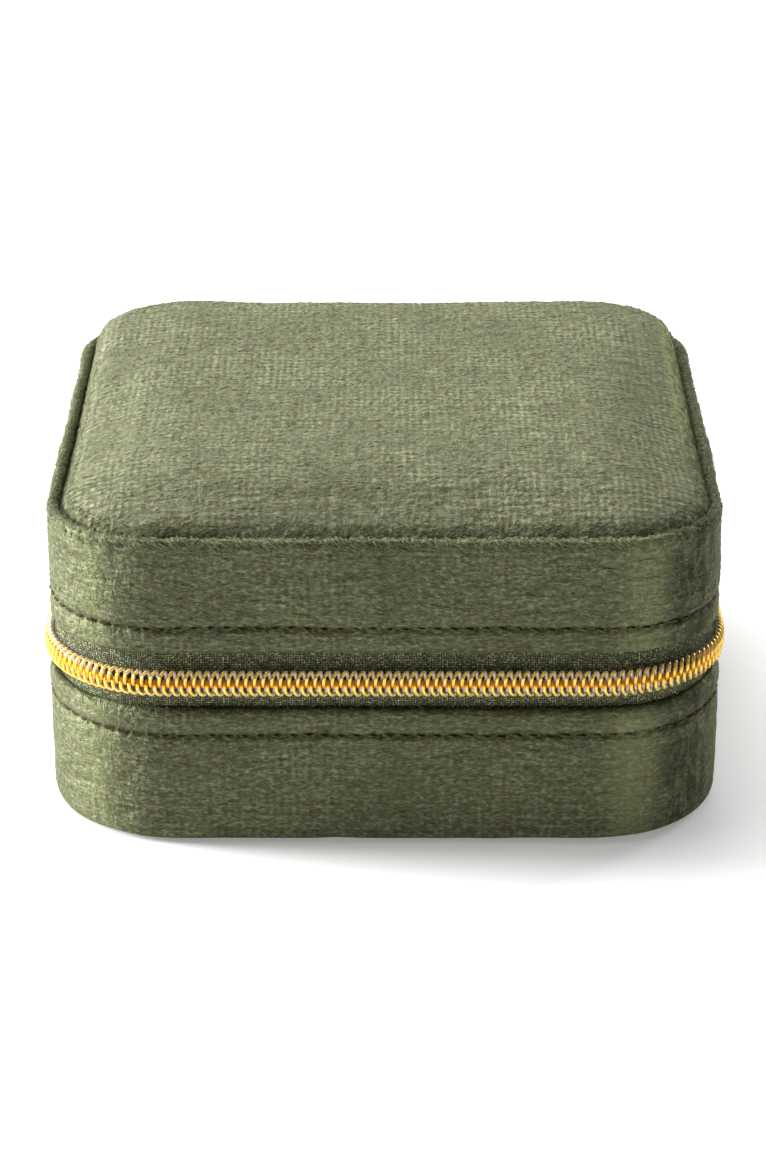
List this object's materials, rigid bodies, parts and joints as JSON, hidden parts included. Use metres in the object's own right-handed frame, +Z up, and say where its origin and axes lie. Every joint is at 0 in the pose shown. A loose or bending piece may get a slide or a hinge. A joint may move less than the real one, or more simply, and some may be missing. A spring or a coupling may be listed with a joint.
{
  "type": "travel jewelry case",
  "caption": "Square zip-around travel jewelry case with padded velvet lid and base, ring rolls, lift-out dividers and a mirror in the lid.",
  "frame": {"origin": "middle of the flat underside that the case rests on", "axes": "+Z up out of the padded lid, -Y towards the front, +X towards the side where the zip slider is parked"},
  "size_m": [0.1054, 0.1017, 0.0537],
  "materials": {
    "velvet": "olive-green cotton velvet with a soft sheen",
    "suede": "short-napped lining suede, sage olive",
    "zip_tape": "dark olive woven polyester tape",
    "gold_coil": "metallised gold nylon coil",
    "gold_metal": "polished gold-plated zinc",
    "card": "grey board",
    "foam": "soft upholstery foam",
    "mirror": "silvered glass"
  },
  "bodies": {
    "base": {"base_bottom_cover": "velvet", "base_floor_board": "card", "base_wall_board": "card", "base_side_foam": "foam", "base_side_cover": "velvet", "base_lining_floor": "suede", "base_lining_wall": "suede", "ring_roll_1": "suede", "ring_roll_2": "suede", "ring_roll_3": "suede", "ring_roll_4": "suede", "centre_partition": "suede", "lower_zip_tape": "zip_tape", "lower_zip_coil": "gold_coil", "lower_zip_stops": "gold_metal", "hinge_gusset": "velvet", "hinge_gusset_lining": "suede"},
    "lid": {"lid_top_board": "card", "lid_wall_board": "card", "lid_side_foam": "foam", "lid_rim_cord": "foam", "lid_side_cover": "velvet", "lid_foam_pad": "foam", "lid_cushion_cover": "velvet", "lid_lining_wall": "suede", "mirror_frame": "suede", "mirror_glass": "mirror", "mirror_backing": "card", "upper_zip_tape": "zip_tape", "upper_zip_coil": "gold_coil", "upper_zip_stops": "gold_metal"},
    "slider": {"zip_slider": "gold_metal"},
    "link": {"pull_link": "gold_metal"},
    "tab": {"pull_tab": "gold_metal"},
    "divider_front": {"divider_front": "suede"},
    "divider_rear": {"divider_rear": "suede"}
  },
  "joints": [
    {"name": "lid_hinge", "type": "hinge", "parent": "base", "child": "lid", "pos_m": [0, 0.0508, 0.0261], "axis": [-1, 0, 0], "range_deg": [0, 172], "deforming": ["hinge_gusset", "hinge_gusset_lining", "upper_zip_tape", "upper_zip_coil"]},
    {"name": "slider_run", "type": "slide", "parent": "base", "child": "slider", "axis": [0, -1, 0], "range_m": [0, 0.05]},
    {"name": "link_lift", "type": "hinge", "parent": "slider", "child": "link", "pos_m": [0.0533, 0.024, 0.0261], "axis": [0, -1, 0], "range_deg": [0, 100]},
    {"name": "tab_swing", "type": "hinge", "parent": "link", "child": "tab", "pos_m": [0.0533, 0.024, 0.02072], "axis": [1, 0, 0], "range_deg": [-70, 70]},
    {"name": "divider_front_lift", "type": "slide", "parent": "base", "child": "divider_front", "axis": [0, 0, 1], "range_m": [0, 0.015]},
    {"name": "divider_rear_lift", "type": "slide", "parent": "base", "child": "divider_rear", "axis": [0, 0, 1], "range_m": [0, 0.015]}
  ]
}
